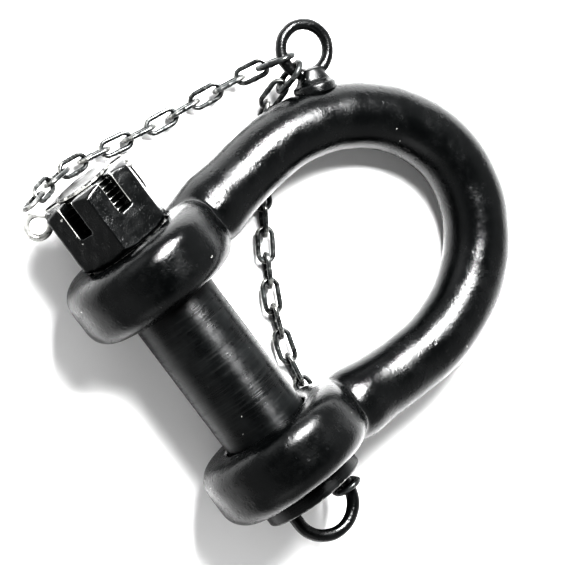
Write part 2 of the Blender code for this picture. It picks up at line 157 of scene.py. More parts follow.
class NutSizes(bpy.types.PropertyGroup):
    """Sizes of the castle nut and the split pin."""
    flats: length("Across flats", 0.061, "Width across flats")
    bore: length("Nut bore", 0.0197, "Radius of the nut's bore")
    inner_face: length("Inner face", 0.0938, "Face against the eye, from the middle")
    outer_face: length("Outer face", 0.140, "Face at the open end, from the middle")
    rim_setback: length("Rim setback", 0.0005, "How far the face stays inside the flats")
    slot_width: length("Slot width", 0.010, "Width of a slot")
    slot_depth: length("Slot depth", 0.024, "Depth of a slot")
    split_x: length("Split pin place", 0.1355, "Where the split pin crosses the pin")
    split_radius: length("Split pin radius", 0.0042, "Radius of the two legs together")
    split_tip: length("Split pin tip", 0.033, "Length from the middle to the tip")
    split_hole: length("Split pin hole", 0.005, "Radius of the hole in the pin")
    loop_offset: length("Loop place", 0.038, "Middle of the loop from the pin's axis")
    loop_radius: length("Loop radius", 0.0075, "Radius of the loop's centre line")
    loop_wire: length("Loop wire", 0.0026, "Half the thickness of the loop's wire")
    slot_angle: FloatProperty(name="Slot angle", description="Slot's angle above the bow's plane",
                              default=math.radians(25.7), subtype="ANGLE", unit="ROTATION")


class ChainSizes(bpy.types.PropertyGroup):
    """Sizes of the eyebolt and the shape of a link."""
    ring_offset: length("Ring place", 0.046, "Ring's middle from the bar's centre line")
    ring_radius: length("Ring radius", 0.01575, "Radius of the ring's centre line")
    ring_wire: length("Ring wire", 0.00375, "Radius of the ring's wire")
    neck_flat: length("Neck flat", 0.0085, "Half width over the neck's two flats")
    weld_bead: share("Weld bead", 0.16, "How much thicker a link is at its weld")
    link_steps: IntProperty(name="Steps round a link", description="Points along a link's wire",
                            default=72, min=24, max=200)
    link_sides: IntProperty(name="Sides of the wire", description="Points round a link's wire",
                            default=18, min=8, max=48)
    bolt_angle: FloatProperty(name="Eyebolt angle", description="Place round the crown's ellipse",
                              default=math.radians(26.0), subtype="ANGLE", unit="ROTATION")


class Finish(bpy.types.PropertyGroup):
    """Colours and wear of the finishes."""
    paint: paint("Black paint", (0.0018, 0.0021, 0.0022), "Semi-gloss paint on the forging")
    paint_dull: paint("Dull paint", (0.0032, 0.0035, 0.0036), "Paint where it has gone matt")
    pin: paint("Pin finish", (0.0025, 0.0028, 0.0029), "Black finish on the turned pin")
    chain: paint("Chain finish", (0.018, 0.019, 0.019), "Darkened steel of the links")
    bare: paint("Bare steel", (0.48, 0.48, 0.46), "Steel where the finish is rubbed off")
    wire: paint("Split pin steel", (0.16, 0.16, 0.155), "Steel of the split pin")


class Stage(bpy.types.PropertyGroup):
    """Floor, light and camera."""
    floor: paint("Floor", (0.74, 0.74, 0.74), "Colour of the floor")
    distance: length("Camera distance", 8.0, "From the middle of the view to the camera")
    field: length("Field", 0.3503, "Width that the view takes in at the middle")
    to_camera: FloatVectorProperty(name="To the camera", description="Direction to the camera",
                                   default=(-0.1740, -0.1910, 0.9660), subtype="DIRECTION")
    camera_up: FloatVectorProperty(name="Camera up", description="Direction that is up in view",
                                   default=(-0.7878, 0.6156, -0.0202), subtype="DIRECTION")
    aim: FloatVectorProperty(name="Aim", description="Middle of the view, from the pin's middle",
                             default=(-0.0150, 0.0616, 0.0095), subtype="TRANSLATION")
    key: FloatProperty(name="Key light", description="Power of the key light",
                       default=135.0, min=0.0, unit="POWER")
    fill: FloatProperty(name="Fill light", description="Power of each fill light",
                        default=2.0, min=0.0, unit="POWER")
    sky: FloatProperty(name="Surroundings", description="Strength of the plain surroundings",
                       default=0.95, min=0.0)
    zenith: FloatProperty(name="Overhead", description="Strength straight overhead",
                          default=0.06, min=0.0)
    zenith_from: FloatProperty(name="Overhead from", default=0.55, min=0.0, max=1.0,
                               description="Height in the sky where the dimming starts")


class ShackleSettings(bpy.types.PropertyGroup):
    """Everything a user may change."""
    bow: PointerProperty(type=BowSizes)
    pin: PointerProperty(type=PinSizes)
    nut: PointerProperty(type=NutSizes)
    chain: PointerProperty(type=ChainSizes)
    finish: PointerProperty(type=Finish)
    stage: PointerProperty(type=Stage)


def settings():
    return bpy.context.scene.shackle


# ------------------------------------------------------------------------------ surfaces


def grid_mesh(name, rows, wrap_rows=False):
    """Skin over a grid of points: each cell between neighbouring rows and columns is a
    quad, columns close on themselves, and rows do too where asked. Rows that shrink to
    one point become poles."""
    index = np.arange(rows.shape[0] * rows.shape[1]).reshape(rows.shape[:2])
    index = np.hstack((index, index[:, :1]))
    if wrap_rows:
        index = np.vstack((index, index[:1]))
    cells = np.stack((index[:-1, :-1], index[:-1, 1:], index[1:, 1:], index[1:, :-1]), axis=-1)
    cells = cells.reshape(-1, 4)
    mesh = bpy.data.meshes.new(name)
    mesh.vertices.add(rows.shape[0] * rows.shape[1])
    mesh.vertices.foreach_set("co", rows.reshape(-1))
    mesh.loops.add(cells.size)
    mesh.loops.foreach_set("vertex_index", cells.reshape(-1))
    mesh.polygons.add(len(cells))
    mesh.polygons.foreach_set("loop_start", np.arange(len(cells)) * 4)
    mesh.update(calc_edges=True)
    return closed(mesh)


def closed(mesh):
    """Merges what coincides, drops faces without area and turns the rest outwards."""
    shape = bmesh.new()
    shape.from_mesh(mesh)
    bmesh.ops.remove_doubles(shape, verts=shape.verts, dist=0.000002)
    bmesh.ops.dissolve_degenerate(shape, edges=shape.edges, dist=0.000001)
    bmesh.ops.recalc_face_normals(shape, faces=shape.faces)
    shape.to_mesh(mesh)
    shape.free()
    return mesh


def rounded(corners, radii, steps=6):
    """Polyline with its corners turned into arcs. An arc starts and ends at the radius
    times the tangent of half the turn from its corner, and runs between as a quadratic
    blend of the two tangents, which is within a hundredth of a circle."""
    corners = np.array(corners, float)
    out = []
    for k, (corner, radius) in enumerate(zip(corners, radii)):
        if radius == 0.0:
            out.append(corner[None])
            continue
        back = corners[k - 1] - corner
        ahead = corners[(k + 1) % len(corners)] - corner
        back /= np.linalg.norm(back)
        ahead /= np.linalg.norm(ahead)
        half_turn = (math.pi - math.acos(np.clip(back @ ahead, -1.0, 1.0))) / 2
        start = corner + back * radius * math.tan(half_turn)
        end = corner + ahead * radius * math.tan(half_turn)
        t = np.linspace(0.0, 1.0, steps + 1)[:, None]
        weight = math.cos(half_turn)
        below = (1 - t) ** 2 + 2 * weight * t * (1 - t) + t ** 2
        out.append(((1 - t) ** 2 * start + 2 * weight * t * (1 - t) * corner + t ** 2 * end)
                   / below)
    return np.vstack(out)


def turned(profile, sides):
    """Surface of revolution about the first axis: a point at (along, radius) goes to
    (along, radius cos a, radius sin a) for every angle a."""
    angle = np.linspace(0.0, 2 * math.pi, sides, endpoint=False)
    along = np.broadcast_to(profile[:, :1], (len(profile), sides))
    return np.stack((along, profile[:, 1:] * np.cos(angle), profile[:, 1:] * np.sin(angle)),
                    axis=-1)


def swept(path, across, upward, section):
    """Section carried along a path: the path's point, plus the section's first figure
    times the direction across, plus its second times the upward direction."""
    return (path[:, None] + section[..., :1] * across[:, None]
            + section[..., 1:] * upward)


def in_plane_normals(path, loop):
    """Directions square to a flat path, in its XY plane: the tangent turned by a
    quarter, where the tangent is the difference of the next and the last point."""
    if loop:
        tangent = np.roll(path, -1, axis=0) - np.roll(path, 1, axis=0)
    else:
        tangent = np.gradient(path, axis=0)
    across = np.stack((tangent[:, 1], -tangent[:, 0], np.zeros(len(path))), axis=-1)
    return across / np.linalg.norm(across, axis=1, keepdims=True)


def circle(radius, sides):
    """Round section: radius times the cosine and the sine of each angle."""
    angle = np.linspace(0.0, 2 * math.pi, sides, endpoint=False)
    radius = np.atleast_1d(radius)[:, None]
    return np.stack((radius * np.cos(angle), radius * np.sin(angle)), axis=-1)


def tube(name, path, radius, sides, loop=False):
    """Round tube along a flat path, its ends closed by a domed cap of three rows whose
    radius falls as a quarter circle."""
    path = np.asarray(path, float)
    radius = np.broadcast_to(np.asarray(radius, float), (len(path),)).copy()
    across = in_plane_normals(path, loop)
    if not loop:
        ahead = path[-1] - path[-2]
        behind = path[0] - path[1]
        ahead /= np.linalg.norm(ahead)
        behind /= np.linalg.norm(behind)
        dome = np.array((0.35, 0.75, 1.0))
        shrink = np.sqrt(np.clip(1 - dome ** 2, 0.0, 1.0))
        reach = 0.25
        first = path[0] + behind * (dome[::-1, None] * radius[0] * reach)
        last = path[-1] + ahead * (dome[:, None] * radius[-1] * reach)
        path = np.vstack((first, path, last))
        across = np.vstack((np.repeat(across[:1], 3, 0), across, np.repeat(across[-1:], 3, 0)))
        radius = np.concatenate((shrink[::-1] * radius[0], radius, shrink * radius[-1]))
    upward = np.array((0.0, 0.0, 1.0))
    return grid_mesh(name, swept(path, across, upward, circle(radius, sides)), loop)


def mesh_points(mesh):
    points = np.empty(len(mesh.vertices) * 3)
    mesh.vertices.foreach_get("co", points)
    return points.reshape(-1, 3)


def mesh_normals(mesh):
    normals = np.empty(len(mesh.vertices) * 3)
    mesh.vertices.foreach_get("normal", normals)
    return normals.reshape(-1, 3)


def moved(mesh, change):
    """Mesh whose points are changed by a function of the whole array of points."""
    mesh.vertices.foreach_set("co", change(mesh_points(mesh)).reshape(-1))
    mesh.update()
    return mesh


def joined(name, meshes):
    """Several closed meshes put into one, as they are."""
    shape = bmesh.new()
    for mesh in meshes:
        shape.from_mesh(mesh)
        bpy.data.meshes.remove(mesh)
    mesh = bpy.data.meshes.new(name)
    shape.to_mesh(mesh)
    shape.free()
    return mesh


def worked(mesh, steps):
    """Mesh after modifiers, each given as its type and settings."""
    holder = bpy.data.objects.new("work", mesh)
    bpy.context.scene.collection.objects.link(holder)
    for kind, values in steps:
        step = holder.modifiers.new(kind.lower(), kind)
        for key, value in values.items():
            setattr(step, key, value)
    evaluated = holder.evaluated_get(bpy.context.evaluated_depsgraph_get())
    made = bpy.data.meshes.new_from_object(evaluated)
    bpy.data.objects.remove(holder)
    return made


def melted(mesh, cell, rounds):
    """One skin over closed shells that run into each other, with softened corners."""
    return worked(mesh, (
        ("REMESH", {"mode": "VOXEL", "voxel_size": cell, "adaptivity": 0.0}),
        ("SMOOTH", {"factor": 0.5, "iterations": rounds}),
    ))


def cut(mesh, tools):
    """Mesh with each closed tool mesh taken away from it."""
    holders = []
    steps = []
    for tool in tools:
        holder = bpy.data.objects.new("tool", tool)
        bpy.context.scene.collection.objects.link(holder)
        holders.append(holder)
        steps.append(("BOOLEAN", {"operation": "DIFFERENCE", "solver": "EXACT",
                                  "object": holder}))
    made = worked(mesh, steps)
    for holder in holders:
        bpy.data.objects.remove(holder)
    return closed(made)


def hammered(mesh, depth, wavelength, seed):
    """Slow unevenness: each point moves along its normal by the mean of 24 sine waves of
    seeded directions and phases."""
    draw = np.random.default_rng(seed)
    waves = 24
    direction = draw.normal(size=(waves, 3))
    direction /= np.linalg.norm(direction, axis=1, keepdims=True)
    pitch = wavelength * draw.uniform(0.6, 1.8, waves)
    phase = draw.uniform(0.0, 2 * math.pi, waves)
    points = mesh_points(mesh)
    swing = np.sin(points @ (direction * (2 * math.pi / pitch[:, None])).T + phase)
    lift = depth * swing.sum(axis=1, keepdims=True) / math.sqrt(waves / 2)
    mesh.vertices.foreach_set("co", (points + mesh_normals(mesh) * lift).reshape(-1))
    mesh.update()
    return mesh


def mark_edges(mesh, width, rounds=2):
    """Stores how convex the surface is at each point, as the attribute edge: along each
    mesh edge the change of normal times the step over the step squared, averaged at the
    points, evened out over a few rounds and multiplied by a width."""
    count = len(mesh.vertices)
    points, normals = mesh_points(mesh), mesh_normals(mesh)
    ends = np.empty(len(mesh.edges) * 2, np.int32)
    mesh.edges.foreach_get("vertices", ends)
    a, b = ends.reshape(-1, 2).T
    step = points[b] - points[a]
    bend = ((normals[b] - normals[a]) * step).sum(1) / np.maximum((step ** 2).sum(1), 1e-14)
    degree = np.maximum(np.bincount(a, minlength=count) + np.bincount(b, minlength=count), 1)
    value = (np.bincount(a, bend, count) + np.bincount(b, bend, count)) / degree
    for _ in range(rounds):
        spread = np.bincount(a, value[b], count) + np.bincount(b, value[a], count)
        value = 0.5 * value + 0.5 * spread / degree
    layer = mesh.attributes.new("edge", "FLOAT", "POINT")
    layer.data.foreach_set("value", (value * width).astype(np.float32))


def piece(name, mesh, body, nodes, material, sharp=None):
    """Finished object: smooth shaded, with its edges marked, riding on its body."""
    mesh.name = name
    mesh.shade_smooth()
    if sharp:
        mesh.set_sharp_from_angle(angle=math.radians(sharp))
    mark_edges(mesh, 0.002)
    mesh.materials.clear()
    mesh.materials.append(material)
    made = bpy.data.objects.new(name, mesh)
    bpy.context.scene.collection.objects.link(made)
    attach(made, body)
    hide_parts(*nodes)
    return made


# ---------------------------------------------------------------------------- materials


def add(tree, kind, inputs=(), **settings_of_node):
    """Adds a node, sets it, and gives its inputs a value or a link."""
    made = tree.nodes.new(kind)
    for key, value in settings_of_node.items():
        setattr(made, key, value)
    for key, value in dict(inputs).items():
        if isinstance(value, bpy.types.NodeSocket):
            tree.links.new(value, made.inputs[key])
        else:
            made.inputs[key].default_value = value
    return made


def group(name, inputs, outputs):
    """Empty node group with float or vector sockets, and its two end nodes."""
    made = bpy.data.node_groups.new(name, "ShaderNodeTree")
    for socket, kind, default in inputs:
        new = made.interface.new_socket(name=socket, in_out="INPUT", socket_type=kind)
        if default is not None:
            new.default_value = default
    for socket in outputs:
        made.interface.new_socket(name=socket, in_out="OUTPUT", socket_type="NodeSocketFloat")
    return made, made.nodes.new("NodeGroupInput").outputs, made.nodes.new("NodeGroupOutput").inputs


def math_node(tree, operation, a, b=0.0, clamp=False):
    return add(tree, "ShaderNodeMath", {0: a, 1: b}, operation=operation,
               use_clamp=clamp).outputs[0]


def ramp(tree, value, low, high, to_low=0.0, to_high=1.0):
    """Smooth step of a value from one range to another."""
    return add(tree, "ShaderNodeMapRange",
               {"Value": value, "From Min": low, "From Max": high,
                "To Min": to_low, "To Max": to_high},
               interpolation_type="SMOOTHSTEP").outputs["Result"]


def forged_skin_group():
    """Relief of paint over forging: slow dents, orange peel and scattered scale pits."""
    tree, given, out = group("Forged_skin", (
        ("Position", "NodeSocketVector", None), ("Size", "NodeSocketFloat", 1.0),
        ("Pits", "NodeSocketFloat", 0.5)), ("Height", "Mottle", "Pit mask"))
    place = add(tree, "ShaderNodeVectorMath", {0: given["Position"], "Scale": given["Size"]},
                operation="SCALE").outputs[0]
    dents = add(tree, "ShaderNodeTexNoise",
                {"Vector": place, "Scale": 95.0, "Detail": 3.0, "Roughness": 0.5}).outputs[0]
    peel = add(tree, "ShaderNodeTexNoise",
               {"Vector": place, "Scale": 620.0, "Detail": 4.0, "Roughness": 0.62}).outputs[0]
    cells = add(tree, "ShaderNodeTexVoronoi",
                {"Vector": place, "Scale": 240.0, "Randomness": 1.0}, feature="F1")
    chance = add(tree, "ShaderNodeTexWhiteNoise", {"Vector": cells.outputs["Position"]},
                 noise_dimensions="3D").outputs["Value"]
    hollow = ramp(tree, cells.outputs["Distance"], 0.12, 0.42, 1.0, 0.0)
    rare = ramp(tree, chance, 0.62, 0.95)
    pit = math_node(tree, "MULTIPLY", hollow, math_node(tree, "MULTIPLY", rare, given["Pits"]))
    high = math_node(tree, "MULTIPLY", dents, 0.55)
    high = math_node(tree, "ADD", high, math_node(tree, "MULTIPLY", peel, 0.30))
    high = math_node(tree, "SUBTRACT", high, math_node(tree, "MULTIPLY", pit, 0.35))
    mottle = add(tree, "ShaderNodeTexNoise",
                 {"Vector": place, "Scale": 42.0, "Detail": 6.0, "Roughness": 0.66}).outputs[0]
    tree.links.new(high, out["Height"])
    tree.links.new(ramp(tree, mottle, 0.34, 0.70), out["Mottle"])
    tree.links.new(pit, out["Pit mask"])
    return tree


def edge_wear_group():
    """Where a finish is rubbed through: convex places, broken up by noise, and chips."""
    tree, given, out = group("Edge_wear", (
        ("Position", "NodeSocketVector", None), ("Edge", "NodeSocketFloat", 0.0),
        ("From", "NodeSocketFloat", 0.3), ("To", "NodeSocketFloat", 0.7),
        ("Chips", "NodeSocketFloat", 0.3)), ("Bare", "Chip"))
    breakup = add(tree, "ShaderNodeTexNoise",
                  {"Vector": given["Position"], "Scale": 330.0, "Detail": 5.0,
                   "Roughness": 0.7}).outputs[0]
    broken = math_node(tree, "ADD", given["Edge"],
                       math_node(tree, "MULTIPLY", math_node(tree, "SUBTRACT", breakup, 0.5), 0.9))
    span = add(tree, "ShaderNodeMapRange",
               {"Value": broken, "From Min": given["From"], "From Max": given["To"]},
               interpolation_type="SMOOTHSTEP").outputs["Result"]
    patches = add(tree, "ShaderNodeTexNoise",
                  {"Vector": given["Position"], "Scale": 150.0, "Detail": 3.0,
                   "Roughness": 0.55}).outputs[0]
    chip = math_node(tree, "MULTIPLY", ramp(tree, patches, 0.735, 0.765), given["Chips"])
    tree.links.new(math_node(tree, "MAXIMUM", span, chip, clamp=True), out["Bare"])
    tree.links.new(chip, out["Chip"])
    return tree


def lathe_marks_group():
    """Fine rings round the pin's axis and faint scratches along it."""
    tree, given, out = group("Lathe_marks", (
        ("Position", "NodeSocketVector", None), ("Rings", "NodeSocketFloat", 420.0)),
        ("Height", "Streak"))
    along = add(tree, "ShaderNodeSeparateXYZ", {"Vector": given["Position"]}).outputs["X"]
    wobble = add(tree, "ShaderNodeTexNoise",
                 {"Vector": given["Position"], "Scale": 60.0, "Detail": 2.0}).outputs[0]
    turns = math_node(tree, "MULTIPLY", along, given["Rings"])
    turns = math_node(tree, "ADD", turns, wobble)
    rings = add(tree, "ShaderNodeTexNoise", {"W": turns, "Scale": 6.0, "Detail": 3.0},
                noise_dimensions="1D").outputs[0]
    squash = add(tree, "ShaderNodeVectorMath",
                 {0: given["Position"], 1: (900.0, 40.0, 40.0)}, operation="MULTIPLY").outputs[0]
    streak = add(tree, "ShaderNodeTexNoise",
                 {"Vector": squash, "Scale": 1.0, "Detail": 4.0}).outputs[0]
    tree.links.new(rings, out["Height"])
    tree.links.new(ramp(tree, streak, 0.45, 0.75), out["Streak"])
    return tree


GROUP_MAKERS = {
    "Forged_skin": forged_skin_group,
    "Edge_wear": edge_wear_group,
    "Lathe_marks": lathe_marks_group,
}


def placed_group(tree, name, inputs):
    """Node that uses a shared effect, which is built the first time it is asked for."""
    effect = bpy.data.node_groups.get(name) or GROUP_MAKERS[name]()
    node = tree.nodes.new("ShaderNodeGroup")
    node.node_tree = effect
    for key, value in inputs.items():
        if isinstance(value, bpy.types.NodeSocket):
            tree.links.new(value, node.inputs[key])
        else:
            node.inputs[key].default_value = value
    return node.outputs


def blend_colour(tree, factor, a, b):
    """Mix of two colours, each given as a colour or a socket."""
    node = tree.nodes.new("ShaderNodeMix")
    node.data_type = "RGBA"
    for socket, value in ((node.inputs[0], factor), (node.inputs[6], a), (node.inputs[7], b)):
        if isinstance(value, bpy.types.NodeSocket):
            tree.links.new(value, socket)
        elif isinstance(value, float):
            socket.default_value = value
        else:
            socket.default_value = (*value, 1.0)
    return node.outputs[2]


def new_material(name):
    made = bpy.data.materials.new(name)
    made.use_nodes = True
    tree = made.node_tree
    position = add(tree, "ShaderNodeTexCoord").outputs["Object"]
    edge = add(tree, "ShaderNodeAttribute", attribute_name="edge").outputs["Fac"]
    return made, tree, tree.nodes["Principled BSDF"], position, edge


def painted(name, colour, dull, bare, size, edges, chips, relief, gloss, pits=0.5):
    """Semi-gloss paint on rough steel: mottled colour and gloss, peel and pits as
    relief, and bare steel along rubbed edges."""
    made, tree, shader, position, edge = new_material(name)
    skin = placed_group(tree, "Forged_skin", {"Position": position, "Size": size, "Pits": pits})
    wear = placed_group(tree, "Edge_wear", {"Position": position, "Edge": edge,
                                            "From": edges[0], "To": edges[1], "Chips": chips})
    coat = blend_colour(tree, skin["Mottle"], colour, dull)
    coat = blend_colour(tree, wear["Bare"], coat, bare)
    tree.links.new(coat, shader.inputs["Base Color"])
    rough = ramp(tree, skin["Mottle"], 0.0, 1.0, gloss[0], gloss[1])
    rough = math_node(tree, "ADD", rough, math_node(tree, "MULTIPLY", skin["Pit mask"], 0.2))
    rough = math_node(tree, "ADD", rough, math_node(tree, "MULTIPLY", wear["Bare"], 0.06))
    tree.links.new(rough, shader.inputs["Roughness"])
    tree.links.new(wear["Bare"], shader.inputs["Metallic"])
    height = math_node(tree, "SUBTRACT", skin["Height"],
                       math_node(tree, "MULTIPLY", wear["Bare"], 0.12))
    bump = add(tree, "ShaderNodeBump", {"Height": height, "Strength": relief,
                                        "Distance": 0.0009})
    tree.links.new(bump.outputs["Normal"], shader.inputs["Normal"])
    shader.inputs["Specular IOR Level"].default_value = 0.30
    return made


def machined(name, colour, bare, rings, edges, gloss, relief):
    """Blackened steel off a lathe: ring marks, streaks in the gloss, rubbed edges."""
    made, tree, shader, position, edge = new_material(name)
    lathe = placed_group(tree, "Lathe_marks", {"Position": position, "Rings": rings})
    skin = placed_group(tree, "Forged_skin", {"Position": position, "Size": 1.4, "Pits": 0.15})
    wear = placed_group(tree, "Edge_wear", {"Position": position, "Edge": edge,
                                            "From": edges[0], "To": edges[1], "Chips": 0.35})
    coat = blend_colour(tree, skin["Mottle"], colour, tuple(2.2 * c for c in colour))
    coat = blend_colour(tree, math_node(tree, "MULTIPLY", lathe["Streak"], 0.008), coat, bare)
    coat = blend_colour(tree, wear["Bare"], coat, bare)
    tree.links.new(coat, shader.inputs["Base Color"])
    rough = ramp(tree, lathe["Streak"], 0.0, 1.0, gloss[0], gloss[1])
    rough = math_node(tree, "ADD", rough, math_node(tree, "MULTIPLY", skin["Mottle"], 0.08))
    tree.links.new(rough, shader.inputs["Roughness"])
    tree.links.new(wear["Bare"], shader.inputs["Metallic"])
    height = math_node(tree, "ADD", lathe["Height"],
                       math_node(tree, "MULTIPLY", skin["Height"], 0.6))
    bump = add(tree, "ShaderNodeBump", {"Height": height, "Strength": relief,
                                        "Distance": 0.0004})
    tree.links.new(bump.outputs["Normal"], shader.inputs["Normal"])
    shader.inputs["Specular IOR Level"].default_value = 0.22
    return made


def chain_steel(name, colour, bare, edges, gloss):
    """Dark steel wire: scale in the hollows, and polished where the links rub."""
    made, tree, shader, position, edge = new_material(name)
    skin = placed_group(tree, "Forged_skin", {"Position": position, "Size": 2.6, "Pits": 0.4})
    wear = placed_group(tree, "Edge_wear", {"Position": position, "Edge": edge,
                                            "From": edges[0], "To": edges[1], "Chips": 0.8})
    coat = blend_colour(tree, skin["Mottle"], colour, tuple(2.6 * c for c in colour))
    coat = blend_colour(tree, wear["Bare"], coat, bare)
    tree.links.new(coat, shader.inputs["Base Color"])
    rough = ramp(tree, skin["Mottle"], 0.0, 1.0, gloss[0], gloss[1])
    tree.links.new(rough, shader.inputs["Roughness"])
    metal = math_node(tree, "ADD", math_node(tree, "MULTIPLY", wear["Bare"], 0.4), 0.6, clamp=True)
    tree.links.new(metal, shader.inputs["Metallic"])
    bump = add(tree, "ShaderNodeBump", {"Height": skin["Height"], "Strength": 0.5,
                                        "Distance": 0.0003})
    tree.links.new(bump.outputs["Normal"], shader.inputs["Normal"])
    return made


# -------------------------------------------------------------------------------- shapes

OVERRUN = 0.001
WELD_LENGTH = 0.0016
NUT_CHAMFER = math.radians(32.0)
# Neck of the eyebolt, as distance from the bar's centre line and radius.
NECK_OUTLINE = ((0.0170, 0.0), (0.0170, 0.0136), (0.0228, 0.0136), (0.0250, 0.0110),
                (0.0330, 0.0068), (0.0345, 0.0))
NECK_ROUNDING = (0.0, 0.0008, 0.0012, 0.0030, 0.0014, 0.0)
FLAT_START = 0.0240
FLAT_BLEND = 0.0025
FLAT_FIRMNESS = 1.15
SPLIT_GAP = 0.00045
SPLIT_LEG_SHARE = 0.45
SPLIT_FLATTENING = 0.98
SPLIT_TIP_SHARE = 0.75
SPLIT_TIP_LENGTH = 0.0012


def crown_height():
    return CROWN_Y - settings().bow.arm_end


def bow_centre_line():
    """Flat centre line: each arm moves out by a smooth step of its share of the arm's
    length, and the crown is half an ellipse."""
    size = settings().bow
    y = np.linspace(size.arm_start, size.arm_end, 28, endpoint=False)
    share_of_arm = y / size.arm_end
    ease = share_of_arm ** 2 * (3 - 2 * share_of_arm)
    x = size.eye_x + (size.crown_width - size.eye_x) * ease
    angle = np.linspace(0.0, math.pi, 121)
    crown = np.stack((size.crown_width * np.cos(angle),
                      size.arm_end + crown_height() * np.sin(angle)), axis=-1)
    arm = np.stack((x, y), axis=-1)
    flat = np.vstack((arm, crown, arm[::-1] * (-1.0, 1.0)))
    return np.column_stack((flat, np.zeros(len(flat))))


def bow_bar():
    """Tube whose radius is the bar's, plus a bell curve where an arm meets its eye."""
    size = settings().bow
    path = bow_centre_line()
    flare = size.bar_flare * np.exp(-((path[:, 1] - size.flare_y) / size.flare_length) ** 2)
    return tube("bar", path, size.bar_radius + flare, 72)


def eye_ring(x):
    """Turned ring round the pin's axis: a closed section with a rounded rim and bore."""
    size = settings().bow
    half, edge = size.eye_half, size.bore_edge
    corners = ((half, size.bore_radius), (half, size.eye_radius), (-half, size.eye_radius),
               (-half, size.bore_radius))
    radii = (edge, size.eye_fillet, size.eye_fillet, edge)
    section = rounded(corners, radii, 10) + (x, 0.0)
    return grid_mesh("eye", turned(section, 160), wrap_rows=True)


def bow_mesh():
    """Bar and two eyes melted into one forging, then made slightly uneven."""
    size = settings().bow
    shells = joined("bow", (bow_bar(), eye_ring(size.eye_x), eye_ring(-size.eye_x)))
    skin = melted(shells, size.voxel, 14)
    return hammered(skin, size.unevenness, 0.030, 11)


def pin_profile_rows():
    """Pin's radius along its axis from the head to the tip, with rounded edges. On the
    threaded end the radius dips by a triangle wave of the distance plus the angle's
    share of a pitch, and the wave fades in and out over one pitch at the ends."""
    size = settings().pin
    near = settings().bow.eye_x + settings().bow.eye_half + 0.0003
    edge = size.edge
    tip = -THREAD_END
    head = rounded(((HEAD_FACE, 0.0), (HEAD_FACE, size.head_radius), (near, size.head_radius),
                    (near, size.radius), (-size.shoulder, size.radius),
                    (-size.shoulder, size.thread_radius), (tip, size.thread_radius),
                    (tip, 0.0)),
                   (0.0, edge, edge, 0.0, edge, 0.0005, edge, 0.0))
    start = -size.shoulder - 0.0006
    end = tip + edge
    before = head[head[:, 0] > start]
    after = head[head[:, 0] <= end]
    rows = int((start - end) / size.thread_pitch * 14)
    along = np.linspace(start, end, rows)[1:-1]
    middle = np.column_stack((along, np.full(len(along), size.thread_radius)))
    return np.vstack((before, middle, after)), start, end


def pin_mesh():
    """Turned pin with its thread, drilled for the split pin."""
    size = settings().pin
    nut = settings().nut
    profile, start, end = pin_profile_rows()
    rows = turned(profile, 120)
    angle = np.linspace(0.0, 1.0, 120, endpoint=False)
    along = profile[:, :1]
    phase = (along / size.thread_pitch + angle) % 1.0
    groove = 1 - np.abs(2 * phase - 1)
    fade = np.clip((start - along) / size.thread_pitch, 0.0, 1.0)
    fade = fade * np.clip((along - end) / size.thread_pitch, 0.0, 1.0)
    radius = np.maximum(profile[:, 1:], 1e-9)
    rows[..., 1:] *= (1 - size.thread_depth * groove * fade / radius)[..., None]
    mesh = grid_mesh("pin", rows)
    drill = np.array(((-0.03, 0.0), (-0.03, 1.0), (0.03, 1.0), (0.03, 0.0)))
    drill[:, 1] *= nut.split_hole
    hole = grid_mesh("hole", turned(drill, 32))
    return cut(mesh, (moved(hole, split_pin_place),))


def split_pin_place(points):
    """From the split pin's axes to the bow's: its length runs along a slot."""
    nut = settings().nut
    c, s = math.cos(nut.slot_angle), math.sin(nut.slot_angle)
    along_slot = np.array((0.0, c, s))
    across = np.array((-1.0, 0.0, 0.0))
    up = np.cross(along_slot, across)
    return points @ np.array((along_slot, across, up)) + (-nut.split_x, 0.0, 0.0)


def handle_mesh():
    """D of round bar: two straight legs and half an ellipse, with a raised weld where
    each leg meets the head, its height a bell curve of the distance from the head."""
    size = settings().pin
    start = HEAD_FACE + 0.0003
    leg = start + size.handle_leg
    angle = np.linspace(0.0, math.pi, 49)
    arch = np.stack((leg + size.handle_depth * np.sin(angle),
                     size.handle_half * np.cos(angle)), axis=-1)
    down = np.linspace(start, leg, 14, endpoint=False)
    legs = np.column_stack((down, np.full(len(down), size.handle_half)))
    flat = np.vstack((legs, arch, legs[::-1] * (1.0, -1.0)))
    path = np.column_stack((flat, np.zeros(len(flat))))
    weld = size.weld * np.exp(-((path[:, 0] - start) / WELD_LENGTH) ** 2)
    mesh = tube("handle", path, size.handle_bar + weld, 28)
    return hammered(mesh, 0.00008, 0.012, 5)


def nut_shell():
    """Hexagon with conical chamfers: at each height the radius is the smaller of the
    hexagon's, which is half the flats over the cosine of the angle from the nearest
    flat's middle, and the cone's, which grows from the rim with the depth."""
    nut = settings().nut
    angle = np.linspace(0.0, 2 * math.pi, 240, endpoint=False)
    from_flat = (angle - nut.slot_angle + math.pi / 6) % (math.pi / 3) - math.pi / 6
    hexagon = nut.flats / 2 / np.cos(from_flat)
    height = np.linspace(0.0, nut.outer_face - nut.inner_face, 40)
    depth = np.minimum(height, height[::-1])
    cone = nut.flats / 2 - nut.rim_setback + depth / math.tan(NUT_CHAMFER)
    outside = np.minimum(hexagon[None], cone[:, None])
    bore = np.full((2, len(angle)), nut.bore)
    radius = np.vstack((outside, bore))
    along = -nut.inner_face - np.concatenate((height, height[[-1, 0]]))
    along = np.broadcast_to(along[:, None], radius.shape)
    rows = np.stack((along, radius * np.cos(angle), radius * np.sin(angle)), axis=-1)
    return grid_mesh("nut", rows, wrap_rows=True)


